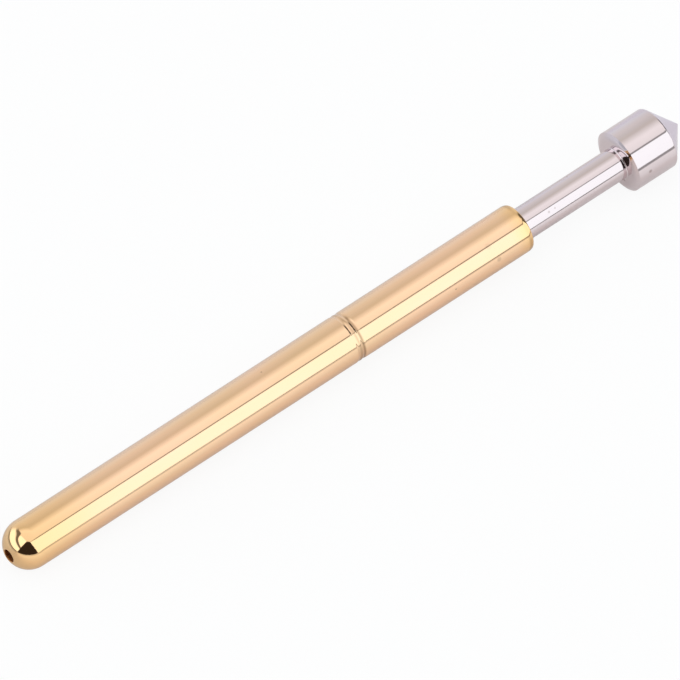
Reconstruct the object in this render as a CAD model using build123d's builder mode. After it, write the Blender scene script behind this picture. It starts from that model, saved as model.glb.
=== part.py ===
from build123d import *
import os
from math import asin, degrees, radians, sin, sqrt, tan

# A spring-loaded contact pin: a domed barrel, a turned plunger with a conical head, and a coil spring.
# It lies along X with its tip towards +X. The origin is on the axis, at the barrel's mouth.
# Lengths are in millimetres and angles in degrees.

# Barrel: a drawn tube, closed at the tail by a dome with a vent, rolled in at the mouth to guide the rod
barrel_length = 12.63
barrel_diameter = 1.02
wall = 0.125
vent_diameter = 0.30
mouth_round = 0.09
lip_length = 0.20
lip_taper = 0.08

# Crimp: a groove rolled into the barrel, which raises a bead inside that stops the plunger
crimp_distance = 4.29
crimp_width = 0.18
crimp_depth = 0.015

# Plunger: turned in one piece, with its bearing behind the crimp
travel = 2.40
head_gap_at_full_travel = 0.05
head_diameter = 1.30
head_length = 0.96
head_edge_round = 0.02
tip_angle = 100.0
tip_round = 0.03
neck_fillet = 0.05
bearing_step = 0.035
bearing_length = 0.90
bearing_chamfer = 0.05

# Spring: round wire, closed and ground at both ends
wire_diameter = 0.12
coil_pitch = 0.28
end_turn_gap = 0.006
open_runs = 3

# Clearances
running_clearance = 0.015
spring_clearance = 0.025
seat_gap = 0.01

# Radii, from the barrel inwards
barrel_radius = barrel_diameter / 2
bore_radius = barrel_radius - wall
bearing_radius = bore_radius - running_clearance
rod_radius = bearing_radius - bearing_step
guide_radius = rod_radius + running_clearance
head_radius = head_diameter / 2
vent_radius = vent_diameter / 2
wire_radius = wire_diameter / 2
spring_radius = bore_radius - spring_clearance
coil_radius = spring_radius - wire_radius

# Places along the axis, from the tip to the tail
head_rear_x = travel + head_gap_at_full_travel
head_front_x = head_rear_x + head_length
crimp_front_x = crimp_width / 2 - crimp_distance
crimp_rear_x = crimp_front_x - crimp_width
bearing_front_x = crimp_rear_x - seat_gap
bearing_rear_x = bearing_front_x - bearing_length
dome_x = barrel_radius - barrel_length
spring_front_x = bearing_rear_x - seat_gap
spring_rear_x = dome_x - sqrt(bore_radius**2 - spring_radius**2) + seat_gap

# Barrel
dome_sweep = 90 - degrees(asin(vent_radius / barrel_radius))
inner_dome_sweep = 90 - degrees(asin(vent_radius / bore_radius))
with BuildPart() as barrel:
    with BuildSketch(Plane.XZ):
        with BuildLine():
            dome = CenterArc((dome_x, 0), barrel_radius, 90, dome_sweep)
            rear_wall = Line(dome @ 0, (crimp_rear_x, barrel_radius))
            groove = SagittaArc(rear_wall @ 1, (crimp_front_x, barrel_radius), -crimp_depth)
            front_wall = Line(groove @ 1, (-mouth_round, barrel_radius))
            rim = RadiusArc(front_wall @ 1, (0, barrel_radius - mouth_round), mouth_round)
            lip = Polyline(
                rim @ 1,
                (0, guide_radius),
                (-lip_length, guide_radius),
                (-lip_length - lip_taper, bore_radius),
                (crimp_front_x, bore_radius),
            )
            bead = SagittaArc(lip @ 1, (crimp_rear_x, bore_radius), bore_radius - guide_radius)
            Line(bead @ 1, (dome_x, bore_radius))
            inner_dome = CenterArc((dome_x, 0), bore_radius, 90, inner_dome_sweep)
            Line(inner_dome @ 1, dome @ 1)
        make_face()
    revolve(axis=Axis.X)
barrel.part.label = "barrel"

# Plunger
tip_half_angle = radians(tip_angle / 2)
cone_apex_x = head_front_x + head_radius / tan(tip_half_angle)
tip_centre_x = cone_apex_x - tip_round / sin(tip_half_angle)
with BuildPart() as plunger:
    with BuildSketch(Plane.XZ):
        with BuildLine():
            tip = CenterArc((tip_centre_x, 0), tip_round, 0, 90 - tip_angle / 2)
            cone = Line(tip @ 1, (head_front_x, head_radius))
            body = FilletPolyline(
                cone @ 1,
                (head_rear_x, head_radius),
                (head_rear_x, rod_radius),
                (bearing_front_x, rod_radius),
                (bearing_front_x, bearing_radius),
                (bearing_rear_x + bearing_chamfer, bearing_radius),
                (bearing_rear_x, bearing_radius - bearing_chamfer),
                (bearing_rear_x, 0),
                radius=(head_edge_round, neck_fillet, 0, 0, 0, 0),
            )
            Line(body @ 1, tip @ 0)
        make_face()
    revolve(axis=Axis.X)
plunger.part.label = "plunger"

# Spring: one close turn at each end and whole open turns between, each run starting where the last stops.
# The wire's section stays in a plane through the axis, so the runs join face to face.
end_pitch = wire_diameter + end_turn_gap
open_run_length = (spring_front_x - spring_rear_x - 2 * end_pitch) / open_runs
open_run_turns = round(open_run_length / coil_pitch)
end_run = (end_pitch, 1)
open_run = (open_run_length, open_run_turns)
run_x = spring_rear_x
with BuildPart() as spring:
    for run_length, turns in (end_run, *[open_run] * open_runs, end_run):
        with BuildLine() as coil:
            Helix(run_length / turns, run_length, coil_radius, center=(run_x, 0, 0), direction=(1, 0, 0))
        with BuildSketch(Plane.XZ):
            with Locations((run_x, coil_radius)):
                Circle(wire_radius)
        sweep(path=coil.line, is_frenet=True)
        run_x += run_length
    # Both ends are ground flat, through the middle of the wire
    split(bisect_by=Plane.YZ.offset(spring_rear_x), keep=Keep.TOP)
    split(bisect_by=Plane.YZ.offset(spring_front_x), keep=Keep.BOTTOM)
spring.part.label = "spring"

os.makedirs("parts", exist_ok=True)
export_step(barrel.part, "parts/barrel.step")
export_step(plunger.part, "parts/plunger.step")
export_step(spring.part, "parts/spring.step")
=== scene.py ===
import math

import bmesh
import bpy
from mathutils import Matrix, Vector


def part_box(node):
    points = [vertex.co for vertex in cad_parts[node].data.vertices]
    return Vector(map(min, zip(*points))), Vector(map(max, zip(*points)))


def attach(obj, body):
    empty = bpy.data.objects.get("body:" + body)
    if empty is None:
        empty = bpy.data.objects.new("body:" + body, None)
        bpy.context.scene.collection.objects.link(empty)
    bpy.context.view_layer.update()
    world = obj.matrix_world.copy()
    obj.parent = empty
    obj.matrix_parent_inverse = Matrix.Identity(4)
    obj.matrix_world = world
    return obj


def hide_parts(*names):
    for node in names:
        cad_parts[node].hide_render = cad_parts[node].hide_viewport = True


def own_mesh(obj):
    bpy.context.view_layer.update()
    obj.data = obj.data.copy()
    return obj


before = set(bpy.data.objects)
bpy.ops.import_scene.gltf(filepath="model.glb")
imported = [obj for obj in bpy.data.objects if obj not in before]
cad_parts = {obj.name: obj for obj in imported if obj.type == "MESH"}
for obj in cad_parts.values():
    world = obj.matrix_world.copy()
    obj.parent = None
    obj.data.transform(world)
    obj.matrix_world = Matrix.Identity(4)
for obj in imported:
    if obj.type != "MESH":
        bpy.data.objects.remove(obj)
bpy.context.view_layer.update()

# Lengths are in millimetres and angles in degrees; meshes are made in metres, in the frame of the CAD model.
MM = 0.001
TINY = 1e-6
SEGMENTS = 192
RING_STEP = 0.10
BORE_STEP = 1.0
HEAD_STEP = 0.04
FACE_STEP = 0.03
BEVEL_STEP = 0.02
EDGE_STEP = 0.01
SHARP_ANGLE = 24

# The photograph is 680 pixels square. The camera's scale holds at the barrel's mouth.
IMAGE_SIZE = 680
PIXELS_PER_MM = 51.81
MOUTH_PIXEL = (519.6, 226.0)
CAMERA_AZIMUTH = -39.0
CAMERA_ELEVATION = 52.9
CAMERA_DISTANCE = 480.0
CLIP_START = 10.0
SENSOR_WIDTH = 36.0


def corners_mm(node_name):
    """Lowest and highest corner of a CAD node."""
    low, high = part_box(node_name)
    return Vector(low) / MM, Vector(high) / MM


# Sizes from the frame
barrel_low, barrel_high = corners_mm("barrel")
plunger_low, plunger_high = corners_mm("plunger")
spring_low, spring_high = corners_mm("spring")
barrel_r = barrel_high.z
head_r = plunger_high.z
mouth_x = barrel_high.x
tip_x = plunger_high.x
bearing_rear_x = plunger_low.x

# Barrel
vent_r = 0.135
vent_round = 0.018
cad_vent_r = 0.15
bore_r = 0.385
guide_r = 0.35
mouth_set_back = 0.035
mouth_taper_length = 0.015
mouth_taper_angle = 16.0
mouth_bend_round = 0.20
mouth_round = 0.04
lip_length = 0.20
lip_taper = 0.08
crimp_x = -4.29
crimp_width = 0.18
dome_x = barrel_low.x + math.sqrt(barrel_r**2 - cad_vent_r**2)

# The crimp's outer groove, as smooth steps: middle from crimp_x, width, and drop (a rise if below zero)
groove_steps = (
    (-0.100, 0.045, 0.0100),
    (-0.048, 0.055, -0.0075),
    (0.016, 0.055, 0.0130),
    (0.070, 0.100, -0.0155),
)
groove_start, groove_end = -0.13, 0.125
GROOVE_RINGS = 80

# Plunger
rod_r = 0.335
bearing_r = 0.37
head_rear_x = 2.425
head_front_x = 3.41
head_flat_r = 0.47
head_bevel_r = 0.60
head_bevel_angle = 30.0
cone_edge_round = 0.04
neck_fillet = 0.02
tip_half_angle = 50.0
tip_round = 0.03
bearing_length = 0.90
bearing_chamfer = 0.05

# Spring: one close turn at each end and even open turns between, with both ends ground flat
wire_r = 0.06
end_pitch = 0.126
open_turns = 24
coil_r = spring_high.z - wire_r
SECTIONS_PER_TURN = 40
WIRE_SIDES = 16


def line(start, end, step=RING_STEP):
    """Points from start to end, at most a step apart."""
    count = max(1, math.ceil(math.dist(start, end) / step))
    return [
        (start[0] + (end[0] - start[0]) * i / count, start[1] + (end[1] - start[1]) * i / count)
        for i in range(count + 1)
    ]


def arc(centre, radius, start, sweep, steps):
    """Points on a circle in the (x, r) plane: 0 degrees is towards +X and 90 outwards."""
    angles = [math.radians(start + sweep * i / steps) for i in range(steps + 1)]
    return [(centre[0] + radius * math.cos(a), centre[1] + radius * math.sin(a)) for a in angles]


def groove_depth(place):
    """Depth of the crimp's groove at a distance from its middle."""
    depth = 0.0
    for middle, width, drop in groove_steps:
        part = min(max((place - middle) / width + 0.5, 0.0), 1.0)
        depth += drop * part * part * (3 - 2 * part)
    return depth


def chain(*runs):
    """One profile from runs of points, each point kept once."""
    points = []
    for point in (p for run in runs for p in run):
        if not points or math.dist(points[-1], point) > TINY:
            points.append(point)
    return points


def finished(name, bm):
    """A piece from a bmesh, smooth but for its sharp edges."""
    bmesh.ops.recalc_face_normals(bm, faces=bm.faces)
    mesh = bpy.data.meshes.new(name)
    bm.to_mesh(mesh)
    bm.free()
    mesh.shade_smooth()
    mesh.set_sharp_from_angle(angle=math.radians(SHARP_ANGLE))
    piece = bpy.data.objects.new(name, mesh)
    bpy.context.collection.objects.link(piece)
    return piece


def lathe(name, profile, closed):
    """A mesh turned about X from (x, r) points; a closed profile joins its last ring to its first."""
    bm = bmesh.new()
    rings = []
    for x, r in profile:
        count = SEGMENTS if r > TINY else 1
        angles = [2 * math.pi * k / count for k in range(count)]
        rings.append([bm.verts.new((x * MM, r * math.sin(a) * MM, r * math.cos(a) * MM)) for a in angles])
    following = rings[1:] + rings[:1] if closed else rings[1:]
    for ring, other in zip(rings, following):
        for k in range(SEGMENTS):
            quad = [ring[k % len(ring)], ring[(k + 1) % len(ring)]]
            quad += [other[(k + 1) % len(other)], other[k % len(other)]]
            bm.faces.new(dict.fromkeys(quad))
    return finished(name, bm)


def coil_spring(name):
    """A wire wound about X. Its round section stays in a plane through the axis, and both ends are flat."""
    rear_x, front_x = spring_low.x, spring_high.x
    open_pitch = (front_x - rear_x - 2 * end_pitch) / open_turns
    bm = bmesh.new()
    rings = []
    for k in range((open_turns + 2) * SECTIONS_PER_TURN + 1):
        turns = k / SECTIONS_PER_TURN
        close_turns = min(turns, 1.0) + max(turns - open_turns - 1.0, 0.0)
        x = rear_x + close_turns * end_pitch + (turns - close_turns) * open_pitch
        ring = []
        for side in range(WIRE_SIDES):
            angle = 2 * math.pi * side / WIRE_SIDES
            section_x = min(max(x + wire_r * math.sin(angle), rear_x), front_x)
            r = coil_r + wire_r * math.cos(angle)
            place = (section_x, -r * math.sin(2 * math.pi * turns), r * math.cos(2 * math.pi * turns))
            ring.append(bm.verts.new([value * MM for value in place]))
        rings.append(ring)
    for ring, other in zip(rings, rings[1:]):
        for side in range(WIRE_SIDES):
            following = (side + 1) % WIRE_SIDES
            bm.faces.new((ring[side], ring[following], other[following], other[side]))
    bm.faces.new(rings[0])
    bm.faces.new(rings[-1])
    return finished(name, bm)


# Materials: scales are per millimetre, places in millimetres, and colours linear
CLOUD_SCALE = (0.5, 1.3, 1.3)
NOISE_DETAIL = 3.0
NOISE_RANGE = (0.3, 0.7)
PIT_CELLS_PER_MM = 3.0
PIT_SHARE = 0.10
PIT_RADIUS = 0.025
PIT_COLOUR = (0.16, 0.10, 0.06, 1.0)
PIT_STAIN = 0.45
PIT_ROUGHNESS = 0.25
PIT_DEPTH = 4.0
BUMP_METRES = 2e-8
PAINTED_SHADE_COLOUR = (0.20, 0.11, 0.05, 1.0)
MARK_COLOUR = (0.20, 0.13, 0.10, 1.0)
SPECK_CORE = 0.5
MARK_CORE = 0.3
# Where a ring of painted shade changes from the pin's top to its low side (towards -Y) and to its far side
# (+Y)
LOW_SIDE_Z = (0.30, 0.15)
LOW_SIDE_Y = (0.0, -0.3)
FAR_SIDE_Y = (0.05, 0.2)
# The dull wall of a hole starts within this distance outside the hole's radius
HOLE_EDGE = (0.012, 0.003)


def node(tree, kind, inputs=(), **settings):
    """Adds a node; each input is a plain value or another node's output."""
    made = tree.nodes.new(kind)
    for key, value in settings.items():
        setattr(made, key, value)
    for key, value in dict(inputs).items():
        if isinstance(value, bpy.types.NodeSocket):
            tree.links.new(value, made.inputs[key])
        else:
            made.inputs[key].default_value = value
    return made


def maths(tree, operation, *values):
    return node(tree, "ShaderNodeMath", enumerate(values), operation=operation).outputs[0]


def every(tree, *masks):
    """The product of the masks: 1 where each of them is 1."""
    made = masks[0]
    for mask in masks[1:]:
        made = maths(tree, "MULTIPLY", made, mask)
    return made


def span(tree, value, low, high, to_low=0.0, to_high=1.0):
    """Maps low..high smoothly onto to_low..to_high, and stays at the ends outside."""
    inputs = {"Value": value, "From Min": low, "From Max": high, "To Min": to_low, "To Max": to_high}
    return node(tree, "ShaderNodeMapRange", inputs, interpolation_type="SMOOTHSTEP").outputs["Result"]


def blend_value(tree, factor, first, second):
    return node(tree, "ShaderNodeMix", {0: factor, 2: first, 3: second}, data_type="FLOAT").outputs[0]


def blend_colour(tree, factor, first, second):
    return node(tree, "ShaderNodeMix", {0: factor, 6: first, 7: second}, data_type="RGBA").outputs[2]


def ramp(tree, factor, stops):
    """A colour ramp from (place, colour) stops."""
    made = node(tree, "ShaderNodeValToRGB", {0: factor})
    elements = made.color_ramp.elements
    while len(elements) < len(stops):
        elements.new(1.0)
    for element, (place, colour) in zip(elements, stops):
        element.position = place
        element.color = (*colour, 1.0)
    return made.outputs["Color"]


def new_material(name):
    material = bpy.data.materials.new(name)
    material.use_nodes = True
    tree = material.node_tree
    tree.nodes.clear()
    output = tree.nodes.new("ShaderNodeOutputMaterial")
    return material, tree, output


def coordinates_mm(tree, scale=(1, 1, 1)):
    """Object coordinates in millimetres, times scale along each axis."""
    place = node(tree, "ShaderNodeTexCoord").outputs["Object"]
    factors = [s / MM for s in scale]
    return node(tree, "ShaderNodeVectorMath", {0: place, 1: factors}, operation="MULTIPLY").outputs[0]


def noise(tree, scale):
    inputs = {"Vector": coordinates_mm(tree, scale), "Scale": 1.0, "Detail": NOISE_DETAIL}
    return node(tree, "ShaderNodeTexNoise", inputs).outputs["Fac"]


def specks(tree, cells_per_mm, share, radius):
    """Sparse round specks: 1 inside, 0 outside."""
    inputs = {"Vector": coordinates_mm(tree, (cells_per_mm,) * 3), "Scale": 1.0}
    cells = node(tree, "ShaderNodeTexVoronoi", inputs)
    chosen = node(tree, "ShaderNodeSeparateColor", {0: cells.outputs["Color"]}).outputs[0]
    cell_radius = radius * cells_per_mm
    inside = span(tree, cells.outputs["Distance"], cell_radius, SPECK_CORE * cell_radius)
    return maths(tree, "MULTIPLY", inside, maths(tree, "LESS_THAN", chosen, share))


def mark(tree, place, radius):
    """A soft round mark about a place: 1 in its middle, 0 outside."""
    inputs = {0: coordinates_mm(tree), 1: place}
    distance = node(tree, "ShaderNodeVectorMath", inputs, operation="DISTANCE").outputs["Value"]
    return span(tree, distance, radius, MARK_CORE * radius)


def plated_metal(name, light, deep, streak_scale, roughness, tints=(), rings=(), marks=(), hole=None):
    """Polished plating with slight colour drift, fine tool lines and a few pits.

    It may have tints that grow from one x to another, rings of painted shade, single marks, and a hole on
    the axis with a dull wall.
    """
    material, tree, output = new_material(name)
    cloud = noise(tree, CLOUD_SCALE)
    streak = noise(tree, streak_scale)
    pit = specks(tree, PIT_CELLS_PER_MM, PIT_SHARE, PIT_RADIUS)
    colour = blend_colour(tree, span(tree, cloud, *NOISE_RANGE), light, deep)
    place = node(tree, "ShaderNodeSeparateXYZ", {0: coordinates_mm(tree)}).outputs
    for tint, start_x, full_x in tints:
        colour = blend_colour(tree, span(tree, place["X"], start_x, full_x), colour, tint)
    colour = blend_colour(tree, maths(tree, "MULTIPLY", pit, PIT_STAIN), colour, PIT_COLOUR)
    low_side = every(tree, span(tree, place["Z"], *LOW_SIDE_Z), span(tree, place["Y"], *LOW_SIDE_Y))
    far_side = span(tree, place["Y"], *FAR_SIDE_Y)
    # Rings of painted shade, whose strength changes between the top, the low side and the far side
    for middle, half_width, top, low, far in rings:
        off_middle = maths(tree, "ABSOLUTE", maths(tree, "SUBTRACT", place["X"], middle))
        strength = blend_value(tree, far_side, blend_value(tree, low_side, top, low), far)
        stain_and_shade = maths(tree, "MULTIPLY", span(tree, off_middle, half_width, 0.0), strength)
        colour = blend_colour(tree, stain_and_shade, colour, PAINTED_SHADE_COLOUR)
    for middle, radius, strength in marks:
        stain_and_shade = maths(tree, "MULTIPLY", mark(tree, middle, radius), strength)
        colour = blend_colour(tree, stain_and_shade, colour, MARK_COLOUR)
    rough = span(tree, streak, *NOISE_RANGE, *roughness)
    rough = maths(tree, "ADD", rough, maths(tree, "MULTIPLY", pit, PIT_ROUGHNESS))
    if hole:
        hole_x, hole_r, hole_colour, hole_rough = hole
        y_square = maths(tree, "POWER", place["Y"], 2.0)
        z_square = maths(tree, "POWER", place["Z"], 2.0)
        off_axis = maths(tree, "SQRT", maths(tree, "ADD", y_square, z_square))
        within = span(tree, off_axis, hole_r + HOLE_EDGE[0], hole_r + HOLE_EDGE[1])
        within = maths(tree, "MULTIPLY", within, maths(tree, "LESS_THAN", place["X"], hole_x))
        colour = blend_colour(tree, within, colour, hole_colour)
        rough = blend_value(tree, within, rough, hole_rough)
    height = maths(tree, "SUBTRACT", streak, maths(tree, "MULTIPLY", pit, PIT_DEPTH))
    bump = node(tree, "ShaderNodeBump", {"Strength": 1.0, "Distance": BUMP_METRES, "Height": height})
    inputs = {"Base Color": colour, "Metallic": 1.0, "Roughness": rough, "Normal": bump.outputs[0]}
    shader = node(tree, "ShaderNodeBsdfPrincipled", inputs)
    tree.links.new(shader.outputs[0], output.inputs["Surface"])
    return material


# Gold plate, drawn along the tube; nickel plate over turned steel; bright spring wire
# Tints: colour, and the x where it starts and where it is full
gold_ends = (((0.92, 0.60, 0.305, 1), -9.8, -12.5), ((0.95, 0.62, 0.30, 1), -0.55, 0.0))
# Rings of painted shade: x, half-width, and strength on the top, the low side and the far side
gold_shade_rings = (
    (-4.24, 0.045, 0.60, 0.64, 0.15),
    (-4.325, 0.04, 0.30, 0.25, 0.20),
    (-4.32, 0.12, 0.00, 0.30, 0.05),
    (-0.115, 0.07, 0.10, 0.40, 0.35),
)
# Marks: place, radius and strength
gold_marks = (((-0.9, -0.48, 0.17), 0.07, 0.25), ((-1.0, -0.26, 0.44), 0.09, 0.12))
nickel_marks = (
    ((2.747, -0.637, 0.128), 0.055, 0.45),
    ((2.45, -0.238, -0.29), 0.05, 0.6),
    ((0.54, -0.234, 0.239), 0.035, 0.35),
    ((0.69, -0.233, 0.241), 0.03, 0.3),
)
# Hole: the x that it lies behind, its radius, and its wall's colour and roughness
gold_vent = (dome_x, vent_r, (0.48, 0.19, 0.06, 1), 0.55)
gold = plated_metal(
    "gold_plate",
    light=(0.95, 0.635, 0.42, 1),
    deep=(0.915, 0.63, 0.39, 1),
    streak_scale=(0.4, 26, 26),
    roughness=(0.05, 0.08),
    tints=gold_ends,
    rings=gold_shade_rings,
    marks=gold_marks,
    hole=gold_vent,
)
nickel = plated_metal(
    "nickel_plate",
    light=(0.74, 0.645, 0.65, 1),
    deep=(0.71, 0.615, 0.625, 1),
    streak_scale=(40, 6, 6),
    roughness=(0.05, 0.08),
    marks=nickel_marks,
)
steel = plated_metal(
    "spring_steel",
    light=(0.60, 0.57, 0.53, 1),
    deep=(0.52, 0.49, 0.46, 1),
    streak_scale=(8, 8, 8),
    roughness=(0.18, 0.28),
)

# Barrel
vent_round_x = dome_x - math.sqrt((barrel_r - vent_round) ** 2 - (vent_r + vent_round) ** 2)
dome_sweep = math.degrees(math.atan2(dome_x - vent_round_x, vent_r + vent_round))
vent_edge_centre = (vent_round_x, vent_r + vent_round)
vent_edge = arc(vent_edge_centre, vent_round, 90 + dome_sweep, 180 - dome_sweep, steps=12)
dome = arc((dome_x, 0), barrel_r, 90, dome_sweep, steps=40)
groove_length = groove_end - groove_start
groove_places = [groove_start + groove_length * k / GROOVE_RINGS for k in range(GROOVE_RINGS + 1)]
groove = [(crimp_x + place, barrel_r - groove_depth(place)) for place in groove_places]
crimp_front_x = crimp_x + crimp_width / 2
crimp_rear_x = crimp_x - crimp_width / 2
bead_depth = bore_r - guide_r
bead_radius = (crimp_width**2 / 4 + bead_depth**2) / (2 * bead_depth)
bead_half = math.degrees(math.asin(crimp_width / 2 / bead_radius))
inner_sweep = 90 - math.degrees(math.asin(vent_r / bore_r))
rim_x = mouth_x - mouth_set_back
taper = math.radians(mouth_taper_angle)
mouth_edge_x = rim_x - mouth_round * (1 - math.sin(taper))
mouth_bend_x = mouth_edge_x - mouth_taper_length * math.cos(taper) - mouth_bend_round * math.sin(taper)
mouth_bend_centre = (mouth_bend_x, barrel_r - mouth_bend_round)
mouth_bend = arc(mouth_bend_centre, mouth_bend_round, 90, -mouth_taper_angle, steps=10)
mouth_edge_r = mouth_bend[-1][1] - mouth_taper_length * math.sin(taper) - mouth_round * math.cos(taper)
mouth_edge_centre = (rim_x - mouth_round, mouth_edge_r)
mouth_edge_sweep = mouth_taper_angle - 90
mouth_edge = arc(mouth_edge_centre, mouth_round, -mouth_edge_sweep, mouth_edge_sweep, steps=8)
barrel_profile = chain(
    vent_edge[::-1],
    dome[::-1],
    line(dome[0], groove[0]),
    groove,
    line(groove[-1], mouth_bend[0]),
    mouth_bend,
    line(mouth_bend[-1], mouth_edge[0], EDGE_STEP),
    mouth_edge,
    line(mouth_edge[-1], (rim_x, guide_r), FACE_STEP),
    line((rim_x, guide_r), (mouth_x - lip_length, guide_r)),
    line((mouth_x - lip_length, guide_r), (mouth_x - lip_length - lip_taper, bore_r)),
    line((mouth_x - lip_length - lip_taper, bore_r), (crimp_front_x, bore_r), BORE_STEP),
    arc((crimp_x, guide_r + bead_radius), bead_radius, 270 + bead_half, -2 * bead_half, steps=12),
    line((crimp_rear_x, bore_r), (dome_x, bore_r), BORE_STEP),
    arc((dome_x, 0), bore_r, 90, inner_sweep, steps=24),
)
barrel_tube = lathe("barrel_tube", barrel_profile, closed=True)
barrel_tube.data.materials.append(gold)
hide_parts("barrel")
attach(barrel_tube, "barrel")

# Plunger
bearing_front_x = bearing_rear_x + bearing_length
tip = arc((tip_x - tip_round, 0), tip_round, 0, 90 - tip_half_angle, steps=8)
cone_edge_back = cone_edge_round * math.tan(math.radians(tip_half_angle / 2))
cone_edge_centre = (head_front_x - cone_edge_back, head_r - cone_edge_round)
cone_edge = arc(cone_edge_centre, cone_edge_round, 90 - tip_half_angle, tip_half_angle, steps=8)
# The head's rear face is flat round the neck, then curves forwards into a bevel at the rim
bevel = math.radians(head_bevel_angle)
crown_round = (head_bevel_r - head_flat_r) / math.sin(bevel)
crown_centre = (head_rear_x + crown_round, head_flat_r)
crown = arc(crown_centre, crown_round, 180 - head_bevel_angle, head_bevel_angle, steps=16)
head_rim = (crown[0][0] + (head_r - head_bevel_r) * math.tan(bevel), head_r)
plunger_profile = chain(
    tip,
    line(tip[-1], cone_edge[0], HEAD_STEP),
    cone_edge,
    line(cone_edge[-1], head_rim, HEAD_STEP),
    line(head_rim, crown[0], BEVEL_STEP),
    crown,
    line(crown[-1], (head_rear_x, rod_r + neck_fillet), FACE_STEP),
    arc((head_rear_x - neck_fillet, rod_r + neck_fillet), neck_fillet, 0, -90, steps=12),
    line((head_rear_x - neck_fillet, rod_r), (bearing_front_x, rod_r)),
    line((bearing_front_x, rod_r), (bearing_front_x, bearing_r)),
    line((bearing_front_x, bearing_r), (bearing_rear_x + bearing_chamfer, bearing_r)),
    line((bearing_rear_x + bearing_chamfer, bearing_r), (bearing_rear_x, bearing_r - bearing_chamfer)),
    line((bearing_rear_x, bearing_r - bearing_chamfer), (bearing_rear_x, 0)),
)
plunger_turned = lathe("plunger_turned", plunger_profile, closed=False)
plunger_turned.data.materials.append(nickel)
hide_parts("plunger")
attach(plunger_turned, "plunger")

# Spring: it rides on the barrel, with a mesh of its own
spring_coil = coil_spring("spring_coil")
spring_coil.data.materials.append(steel)
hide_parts("spring")
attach(spring_coil, "barrel")
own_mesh(spring_coil)

# Floor: plain, and tilted so that the head's rim and the barrel's tail both rest on it.
# The camera sees it white. In the metal it is greyer, and palest towards -Y, where the bright panel stands.
FLOOR_HALF = 250.0
WHITE = (1, 1, 1, 1)
# What the metal mirrors of the floor, from y = +6 (0) to y = -4 (1): shaded under and behind the pin
FLOOR_GLOW = (
    (0.0, (0.33, 0.36, 0.43)),
    (0.3, (0.33, 0.35, 0.41)),
    (0.45, (0.25, 0.26, 0.30)),
    (0.6, (0.22, 0.20, 0.19)),
    (0.65, (0.27, 0.24, 0.235)),
    (0.71, (0.42, 0.36, 0.335)),
    (0.775, (0.486, 0.47, 0.465)),
    (0.84, (0.54, 0.54, 0.54)),
    (1.0, (0.60, 0.60, 0.60)),
)
FLOOR_GLOW_AT_AXIS = 0.6
FLOOR_GLOW_PER_MM = -0.1
# Behind the rod and the tip it has other colours: the x where each starts and is full, and the colour
BEHIND_Y = (-2.0, -0.7)
BEHIND_GLOWS = (
    ((0.5, 2.5), (0.35, 0.33, 0.325, 1)),
    ((3.6, 5.0), (0.37, 0.37, 0.45, 1)),
)
# Far away it is dark at the feet of the panels and towards the opening: where each starts and is full
FAR_LEFT_Y_LESS_X = (20.0, 25.0)
FAR_LEFT_X = (-11.5, -13.0)
FAR_FRONT_Y_PLUS_X = (-18.0, -31.0)
FAR_RIGHT_Y = (-5.5, -8.5)
FAR_SHADE_X = (4.0, 5.4)
FAR_SHADE = (0.28, 0.62)
# What the camera sees of the floor is nearly all glow, so that it is white; the rest keeps the pin's shadow
CAMERA_GLOW = 0.90
CAMERA_SHADE = 0.10
FLOOR_SHADE = 0.50
floor_slope = -(head_r - barrel_r) / (head_rear_x - dome_x)
floor_corners = [(sx * FLOOR_HALF, sy * FLOOR_HALF) for sx, sy in ((-1, -1), (1, -1), (1, 1), (-1, 1))]
floor_points = [(x * MM, y * MM, (floor_slope * (x - dome_x) - barrel_r) * MM) for x, y in floor_corners]
floor_mesh = bpy.data.meshes.new("floor")
floor_mesh.from_pydata(floor_points, [], [(0, 1, 2, 3)])
floor = bpy.data.objects.new("floor", floor_mesh)
bpy.context.collection.objects.link(floor)
material, tree, output = new_material("pale_floor")
path = node(tree, "ShaderNodeLightPath").outputs
floor_place = node(tree, "ShaderNodeSeparateXYZ", {0: coordinates_mm(tree)}).outputs
floor_x, floor_y = floor_place["X"], floor_place["Y"]
mirrored = maths(tree, "MAXIMUM", path["Is Glossy Ray"], path["Is Transmission Ray"])
far_left = span(tree, maths(tree, "SUBTRACT", floor_y, floor_x), *FAR_LEFT_Y_LESS_X)
far_left = maths(tree, "MULTIPLY", far_left, span(tree, floor_x, *FAR_LEFT_X))
far_front = span(tree, maths(tree, "ADD", floor_y, floor_x), *FAR_FRONT_Y_PLUS_X)
far_right = span(tree, floor_y, *FAR_RIGHT_Y)
far = maths(tree, "MAXIMUM", maths(tree, "MAXIMUM", far_left, far_front), far_right)
far_shade = span(tree, floor_x, *FAR_SHADE_X, *FAR_SHADE)
near = maths(tree, "SUBTRACT", 1.0, maths(tree, "MULTIPLY", far, far_shade))
glow_place = maths(tree, "MULTIPLY_ADD", floor_y, FLOOR_GLOW_PER_MM, FLOOR_GLOW_AT_AXIS)
glow_colour = ramp(tree, glow_place, FLOOR_GLOW)
behind = span(tree, floor_y, *BEHIND_Y)
for behind_x, behind_glow in BEHIND_GLOWS:
    covered = maths(tree, "MULTIPLY", span(tree, floor_x, *behind_x), behind)
    glow_colour = blend_colour(tree, covered, glow_colour, behind_glow)
mirrored_glow = maths(tree, "MULTIPLY", mirrored, near)
seen_glow = maths(tree, "MULTIPLY", path["Is Camera Ray"], CAMERA_GLOW)
camera_glow = node(tree, "ShaderNodeEmission", {"Color": WHITE, "Strength": seen_glow})
tent_glow = node(tree, "ShaderNodeEmission", {"Color": glow_colour, "Strength": mirrored_glow})
near_shade = maths(tree, "MULTIPLY", near, FLOOR_SHADE)
shade = blend_value(tree, path["Is Camera Ray"], near_shade, CAMERA_SHADE)
shade_colour = node(tree, "ShaderNodeCombineColor", {0: shade, 1: shade, 2: shade}).outputs[0]
diffuse = node(tree, "ShaderNodeBsdfDiffuse", {"Color": shade_colour})
glows = node(tree, "ShaderNodeAddShader", {0: camera_glow.outputs[0], 1: tent_glow.outputs[0]})
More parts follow.
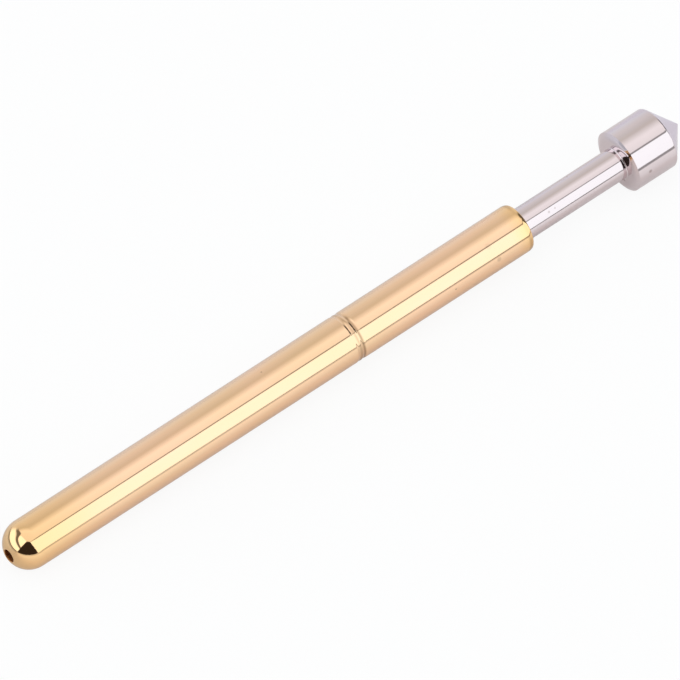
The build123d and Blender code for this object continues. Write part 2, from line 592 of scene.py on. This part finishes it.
added = node(tree, "ShaderNodeAddShader", {0: diffuse.outputs[0], 1: glows.outputs[0]})
tree.links.new(added.outputs[0], output.inputs["Surface"])
floor.data.materials.append(material)

# Light: a white tent around the pin, turned by 45 degrees, with an opening towards -X -Y, a bright panel
# towards +X -Y, a smaller one towards -X +Y, and dark seams along their edges. The camera sees plain white.
world = bpy.data.worlds.new("light_tent")
bpy.context.scene.world = world
world.use_nodes = True
tree = world.node_tree
tree.nodes.clear()
direction = node(tree, "ShaderNodeTexCoord").outputs["Generated"]
SKEW = math.sqrt(0.5)
# Each wall is at distance 1 from the pin. Places on it are (across, up), with (0, 0) on the horizon.
NEAREST = 0.001
SEAM_CORE = 0.4
LEFT_PANEL_LIGHT = (1.5, 1.62, 1.72, 1)
LEFT_CORNER = (1.0, 0.5)
LEFT_TOP = 0.80
LEFT_SEAM_SHADE = 0.20
LEFT_SEAM_WIDTH = 0.26
LEFT_FOOT_WIDTH = 0.14
ARCH_MIDDLE = 0.2
ARCH_WIDTH = 0.35
ARCH_RISE = 0.41
ARCH_SEAM_WIDTH = 0.36
CLOTH_LIGHT = (1.5, 1.62, 1.70, 1)
CLOTH_TOP = 1.6
CLOTH_SLOPE = -1.45
CLOTH_UPPER_EDGE = (-0.1, 0.2)
CLOTH_SIDE_EDGE = (-0.02, -0.2)
RIGHT_PANEL_LIGHT = (1.36, 1.48, 1.52, 1)
RIGHT_CORNER = 0.45
RIGHT_TOP = 1.30
RIGHT_CLIMB_START = -0.12
RIGHT_CLIMB_SLOPE = -1.2
RIGHT_SEAM_SHADE = 0.36
RIGHT_SEAM_WIDTH = 0.165
RIGHT_FOOT_WIDTH = 0.02
WALL_END = 1.0
GAP_SHADE = 0.13
SIDE_GAP_UPPER_EDGE = (1.35, 1.15)
GAP_SIDE_EDGE = (0.15, 0.5)
GAP_UPPER_EDGE = (0.80, 0.60)
OPENING_LIGHT = (0.035, 0.028, 0.025, 1)
OPENING_MIDDLE = 0.08
OPENING_HALF = 0.90
OPENING_NARROWING = -0.38
OPENING_TOP = 1.72


def along(tree, direction, axis):
    made = node(tree, "ShaderNodeVectorMath", {0: direction, 1: axis}, operation="DOT_PRODUCT")
    return made.outputs["Value"]


def wall(tree, towards, across, up):
    """Where a direction meets the plane wall at distance 1: (in front of it, place across, height)."""
    distance = maths(tree, "MAXIMUM", towards, NEAREST)
    return (
        maths(tree, "GREATER_THAN", towards, 0.0),
        maths(tree, "DIVIDE", across, distance),
        maths(tree, "DIVIDE", up, distance),
    )


def seam(tree, gap, half_width):
    """1 on the seam, falling to 0 at its edges."""
    return span(tree, maths(tree, "DIVIDE", maths(tree, "ABSOLUTE", gap), half_width), 1.0, SEAM_CORE)


side = along(tree, direction, (SKEW, -SKEW, 0))
depth = along(tree, direction, (SKEW, SKEW, 0))
height = along(tree, direction, (0, 0, 1))
away = maths(tree, "MULTIPLY", depth, -1.0)
other_side = maths(tree, "MULTIPLY", side, -1.0)

# Roof and back wall, by the angle from the back horizon (0) over the zenith (0.5) to the front horizon (1)
turn = maths(tree, "DIVIDE", maths(tree, "ARCTAN2", height, depth), math.pi)
SKY_STOPS = (
    (0.0, (0.84, 0.90, 0.98)),
    (0.08, (0.85, 0.875, 0.91)),
    (0.17, (0.83, 0.82, 0.81)),
    (0.24, (0.76, 0.755, 0.74)),
    (0.28, (0.735, 0.72, 0.68)),
    (0.305, (0.74, 0.72, 0.68)),
    (0.35, (0.93, 0.92, 0.90)),
    (0.395, (1.13, 1.13, 1.13)),
    (0.41, (1.16, 1.16, 1.16)),
    (0.48, (1.10, 1.10, 1.10)),
    (0.60, (1.06, 1.06, 1.06)),
)
light = ramp(tree, turn, SKY_STOPS)

# Left panel under an arched seam, and the pale cloth between it and the opening
ahead, across, up = wall(tree, other_side, depth, height)
offset = maths(tree, "DIVIDE", maths(tree, "SUBTRACT", across, ARCH_MIDDLE), ARCH_WIDTH)
arch = maths(tree, "EXPONENT", maths(tree, "MULTIPLY", maths(tree, "MULTIPLY", offset, offset), -1.0))
below = maths(tree, "SUBTRACT", maths(tree, "MULTIPLY_ADD", arch, ARCH_RISE, LEFT_TOP), up)
before_corner = span(tree, across, *LEFT_CORNER)
inside = every(tree, ahead, maths(tree, "GREATER_THAN", below, 0.0), before_corner)
light = blend_colour(tree, inside, light, LEFT_PANEL_LIGHT)
below_cloth_top = maths(tree, "SUBTRACT", maths(tree, "MULTIPLY_ADD", across, CLOTH_SLOPE, CLOTH_TOP), up)
cloth = every(
    tree,
    ahead,
    maths(tree, "LESS_THAN", below, 0.0),
    span(tree, below_cloth_top, *CLOTH_UPPER_EDGE),
    span(tree, across, *CLOTH_SIDE_EDGE),
)
light = blend_colour(tree, cloth, light, CLOTH_LIGHT)
left_seam_width = maths(tree, "MULTIPLY_ADD", arch, ARCH_SEAM_WIDTH, LEFT_SEAM_WIDTH)
left_seam = every(tree, ahead, seam(tree, below, left_seam_width), before_corner)
left_foot = every(tree, ahead, seam(tree, up, LEFT_FOOT_WIDTH), before_corner)

# Right panel, whose top edge climbs towards the front
ahead, across, up = wall(tree, side, depth, height)
climb = maths(tree, "MULTIPLY_ADD", across, RIGHT_CLIMB_SLOPE, RIGHT_CLIMB_START)
top = maths(tree, "ADD", maths(tree, "MAXIMUM", climb, 0.0), RIGHT_TOP)
below = maths(tree, "SUBTRACT", top, up)
before_corner = maths(tree, "LESS_THAN", across, RIGHT_CORNER)
inside = every(tree, ahead, maths(tree, "GREATER_THAN", below, 0.0), before_corner)
light = blend_colour(tree, inside, light, RIGHT_PANEL_LIGHT)
right_seam = every(tree, ahead, seam(tree, below, RIGHT_SEAM_WIDTH), before_corner)
right_foot = every(tree, ahead, seam(tree, up, RIGHT_FOOT_WIDTH), before_corner)
side_gap = every(
    tree,
    ahead,
    maths(tree, "GREATER_THAN", across, RIGHT_CORNER),
    maths(tree, "LESS_THAN", across, WALL_END),
    span(tree, up, *SIDE_GAP_UPPER_EDGE),
)

# Gap behind the right panel, low down
ahead, across, up = wall(tree, depth, side, height)
gap = every(
    tree,
    ahead,
    span(tree, across, *GAP_SIDE_EDGE),
    maths(tree, "LESS_THAN", across, WALL_END),
    span(tree, maths(tree, "SUBTRACT", up, across), *GAP_UPPER_EDGE),
)

for grey, masks in (
    (LEFT_SEAM_SHADE, (left_seam, left_foot)),
    (RIGHT_SEAM_SHADE, (right_seam, right_foot)),
    (GAP_SHADE, (gap, side_gap)),
):
    for mask in masks:
        light = blend_colour(tree, mask, light, (grey, grey, grey, 1))

# Opening: dark, and narrower towards its top
ahead, across, up = wall(tree, away, side, height)
half_width = maths(tree, "MULTIPLY_ADD", up, OPENING_NARROWING, OPENING_HALF)
off_middle = maths(tree, "ABSOLUTE", maths(tree, "SUBTRACT", across, OPENING_MIDDLE))
opening = every(
    tree,
    ahead,
    maths(tree, "LESS_THAN", off_middle, half_width),
    maths(tree, "LESS_THAN", up, OPENING_TOP),
)
light = blend_colour(tree, opening, light, OPENING_LIGHT)

seen = node(tree, "ShaderNodeLightPath").outputs["Is Camera Ray"]
tent = blend_colour(tree, seen, light, WHITE)
background = node(tree, "ShaderNodeBackground", {"Color": tent, "Strength": 1.0})
node(tree, "ShaderNodeOutputWorld", {"Surface": background.outputs[0]})

# Camera
azimuth, elevation = math.radians(CAMERA_AZIMUTH), math.radians(CAMERA_ELEVATION)
level = Vector((math.sin(azimuth), -math.cos(azimuth), 0)) * math.cos(elevation)
towards = level + Vector((0, 0, math.sin(elevation)))
rotation = (-towards).to_track_quat("-Z", "Y")
from_mouth = [(IMAGE_SIZE / 2 - pixel) / PIXELS_PER_MM for pixel in MOUTH_PIXEL]
target = rotation @ Vector((from_mouth[0], -from_mouth[1], 0))
camera_data = bpy.data.cameras.new("camera")
camera_data.sensor_width = SENSOR_WIDTH
camera_data.lens = SENSOR_WIDTH * CAMERA_DISTANCE * PIXELS_PER_MM / IMAGE_SIZE
camera_data.clip_start = CLIP_START * MM
camera = bpy.data.objects.new("camera", camera_data)
camera.rotation_mode = "QUATERNION"
camera.rotation_quaternion = rotation
camera.location = (target + towards * CAMERA_DISTANCE) * MM
bpy.context.collection.objects.link(camera)
bpy.context.scene.camera = camera
bpy.context.scene.view_settings.view_transform = "Standard"
